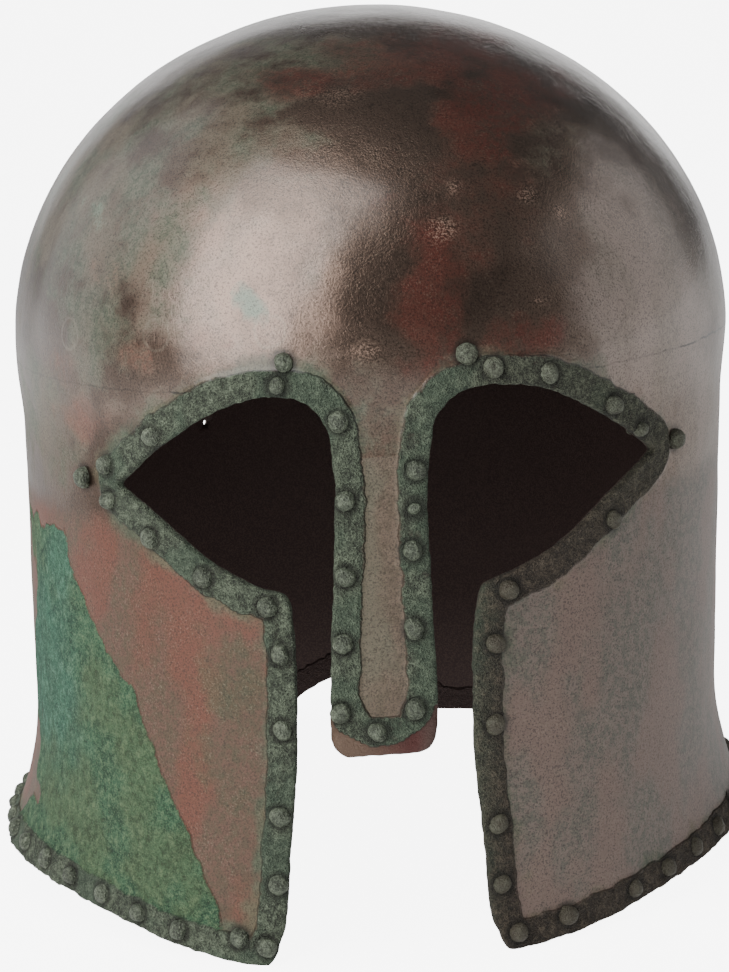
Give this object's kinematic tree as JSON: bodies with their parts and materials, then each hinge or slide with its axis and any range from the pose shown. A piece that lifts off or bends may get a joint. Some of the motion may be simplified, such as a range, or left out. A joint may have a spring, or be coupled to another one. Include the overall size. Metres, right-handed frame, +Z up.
{
  "type": "corinthian helmet",
  "caption": "Early Corinthian helmet of hammered bronze: domed bowl, long nasal bar, almond eye openings, pointed cheek pieces, flared edge and riveted border.",
  "frame": {"origin": "on the floor under the middle of the whole helmet's box, as it stands by itself on its cheek tips and back edge", "axes": "+Z up, -Y the way the face looks, +X the wearer's left"},
  "size_m": [0.2146, 0.2606, 0.2418],
  "materials": {
    "bronze_sheet": "brown patina with dark red, pink-brown and green corrosion, softly glossy on the bowl, rough green at the wearer's right side and along the border",
    "corroded_rivet": "dark grey-green corroded bronze, matt and pitted"
  },
  "bodies": {
    "root": {"helmet_shell": "bronze_sheet", "rivet_left_cheek_1": "corroded_rivet", "rivet_left_cheek_2": "corroded_rivet", "rivet_left_cheek_3": "corroded_rivet", "rivet_left_cheek_4": "corroded_rivet", "rivet_left_cheek_5": "corroded_rivet", "rivet_left_cheek_6": "corroded_rivet", "rivet_left_eye_1": "corroded_rivet", "rivet_left_eye_2": "corroded_rivet", "rivet_left_eye_3": "corroded_rivet", "rivet_left_eye_4": "corroded_rivet", "rivet_left_eye_5": "corroded_rivet", "rivet_left_eye_6": "corroded_rivet", "rivet_left_eye_7": "corroded_rivet", "rivet_left_eye_8": "corroded_rivet", "rivet_nasal_1": "corroded_rivet", "rivet_nasal_10": "corroded_rivet", "rivet_nasal_2": "corroded_rivet", "rivet_nasal_3": "corroded_rivet", "rivet_nasal_4": "corroded_rivet", "rivet_nasal_5": "corroded_rivet", "rivet_nasal_6": "corroded_rivet", "rivet_nasal_7": "corroded_rivet", "rivet_nasal_8": "corroded_rivet", "rivet_nasal_9": "corroded_rivet", "rivet_right_cheek_1": "corroded_rivet", "rivet_right_cheek_2": "corroded_rivet", "rivet_right_cheek_3": "corroded_rivet", "rivet_right_cheek_4": "corroded_rivet", "rivet_right_cheek_5": "corroded_rivet", "rivet_right_cheek_6": "corroded_rivet", "rivet_right_eye_1": "corroded_rivet", "rivet_right_eye_10": "corroded_rivet", "rivet_right_eye_2": "corroded_rivet", "rivet_right_eye_3": "corroded_rivet", "rivet_right_eye_4": "corroded_rivet", "rivet_right_eye_5": "corroded_rivet", "rivet_right_eye_6": "corroded_rivet", "rivet_right_eye_7": "corroded_rivet", "rivet_right_eye_8": "corroded_rivet", "rivet_right_eye_9": "corroded_rivet"}
  },
  "joints": []
}
